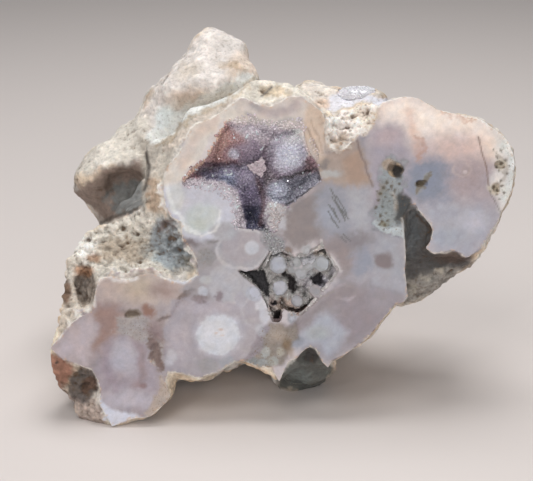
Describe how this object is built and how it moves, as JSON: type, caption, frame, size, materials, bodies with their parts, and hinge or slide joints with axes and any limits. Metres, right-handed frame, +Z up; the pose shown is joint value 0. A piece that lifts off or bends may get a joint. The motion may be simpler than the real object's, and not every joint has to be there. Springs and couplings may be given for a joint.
{
  "type": "pink amethyst geode",
  "caption": "Natural pink amethyst geode with a sawn, polished face, crystal lined hollows and a rough rind; stands leaning back on small flat spots.",
  "frame": {"origin": "centre of the geode's bounding box, on the surface it stands on", "axes": "+Z up; +X to the right along the polished face; +Y to the back, away from the polished face, which leans back 20 degrees"},
  "size_m": [0.156, 0.1038, 0.1165],
  "materials": {
    "chalcedony_stone": "polished face, rough rind",
    "amethyst_druse": "sparkling crystal crust",
    "pale_druse": "fine crystal crust",
    "lavender_druse": "fine crystal crust"
  },
  "bodies": {
    "root": {"geode_stone": "chalcedony_stone", "main_hollow_crystals": "amethyst_druse", "lower_hollow_crystals": "pale_druse", "top_hollow_crystals": "lavender_druse"}
  },
  "joints": []
}
